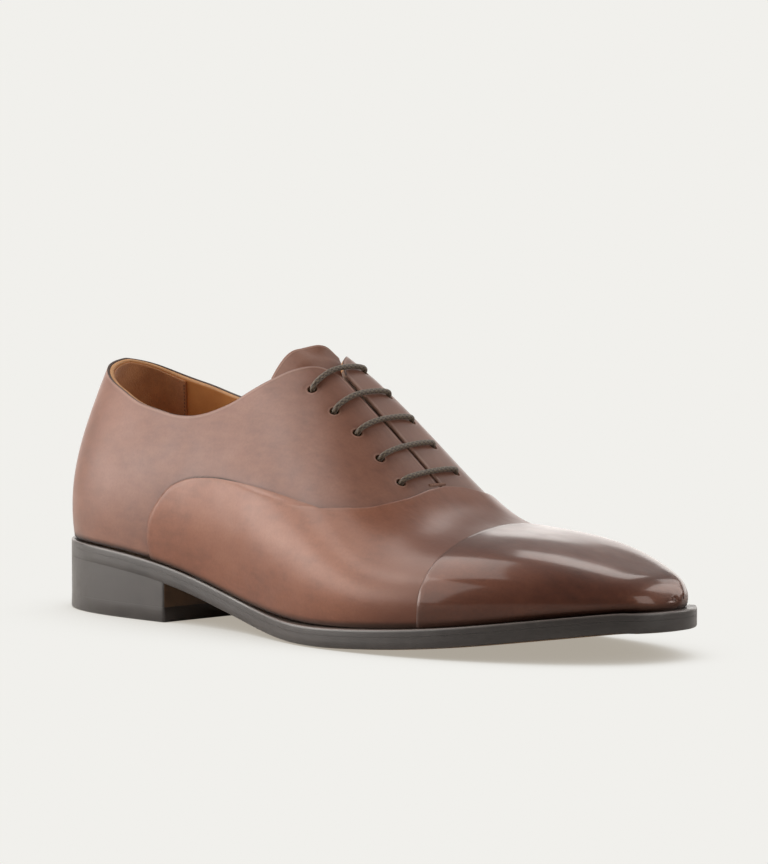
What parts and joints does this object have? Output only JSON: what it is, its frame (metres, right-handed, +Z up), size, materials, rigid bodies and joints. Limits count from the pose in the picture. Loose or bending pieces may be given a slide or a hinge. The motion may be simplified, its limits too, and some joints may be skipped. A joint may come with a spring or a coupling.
{
  "type": "leather oxford shoe",
  "caption": "Right-foot cap-toe oxford shoe in leather: closed lacing, lined upper, welted leather sole that flexes at the ball, hinged tongue and stacked heel.",
  "frame": {"origin": "middle of the shoe's box on the ground", "axes": "+X towards the toe, +Y towards the inner side of a right foot, +Z up"},
  "size_m": [0.3099, 0.1068, 0.1084],
  "materials": {
    "upper_leather": "rosy brown calf, satin",
    "toe_leather": "burnished dark brown calf, glossy",
    "lining_leather": "tan lining leather, matt",
    "grip_suede": "brown suede",
    "stiffener": "undyed leather board",
    "backing_cloth": "cotton backing",
    "lace_cotton": "waxed round cotton",
    "lace_tip": "hard wrapped tip",
    "eyelet_brass": "antique brass",
    "insole_leather": "vegetable tanned",
    "sock_leather": "tan sock leather",
    "edge_leather": "dark brown edge ink",
    "outsole_leather": "oak bark leather, dark waxed edge",
    "cork": "cork paste",
    "shank_steel": "tempered strip",
    "nail_brass": "brass nails",
    "top_piece_rubber": "black rubber"
  },
  "bodies": {
    "rearfoot": {"cork_filler": "cork", "eyelet_lateral_1": "eyelet_brass", "eyelet_lateral_2": "eyelet_brass", "eyelet_lateral_3": "eyelet_brass", "eyelet_lateral_4": "eyelet_brass", "eyelet_lateral_5": "eyelet_brass", "eyelet_medial_1": "eyelet_brass", "eyelet_medial_2": "eyelet_brass", "eyelet_medial_3": "eyelet_brass", "eyelet_medial_4": "eyelet_brass", "eyelet_medial_5": "eyelet_brass", "facing_stay_lateral": "stiffener", "facing_stay_medial": "stiffener", "heel_counter": "stiffener", "heel_grip": "grip_suede", "heel_lift_lower": "edge_leather", "heel_lift_upper": "edge_leather", "heel_nails": "nail_brass", "heel_rand": "edge_leather", "heel_top_piece": "top_piece_rubber", "heel_wedge": "edge_leather", "insole": "insole_leather", "insole_rib": "insole_leather", "lace": "lace_cotton", "lace_tip_a": "lace_tip", "lace_tip_b": "lace_tip", "outsole": "outsole_leather", "quarter_lateral": "upper_leather", "quarter_lining_lateral": "lining_leather", "quarter_lining_medial": "lining_leather", "quarter_medial": "upper_leather", "shank": "shank_steel", "sock": "sock_leather", "vamp": "upper_leather", "vamp_backing": "backing_cloth", "vamp_lining": "lining_leather", "welt": "edge_leather"},
    "forepart": {"cork_filler_forepart": "cork", "insole_forepart": "insole_leather", "insole_rib_forepart": "insole_leather", "outsole_forepart": "outsole_leather", "sock_forepart": "sock_leather", "toe_cap": "toe_leather", "toe_lining": "lining_leather", "toe_puff": "stiffener", "welt_forepart": "edge_leather"},
    "tongue_body": {"tongue": "upper_leather", "tongue_lining": "lining_leather"}
  },
  "joints": [
    {"name": "forepart_flex", "type": "hinge", "parent": "rearfoot", "child": "forepart", "pos_m": [0.05361, 0, 0.0126], "axis": [0, -1, 0], "range_deg": [0, 25], "stiffness_Nm_per_rad": 9, "deforming": ["vamp", "vamp_backing", "vamp_lining"]},
    {"name": "tongue_fold", "type": "hinge", "parent": "rearfoot", "child": "tongue_body", "pos_m": [0.04847, 0, 0.0423], "axis": [0, -1, 0], "range_deg": [0, 16], "stiffness_Nm_per_rad": 0.35}
  ]
}
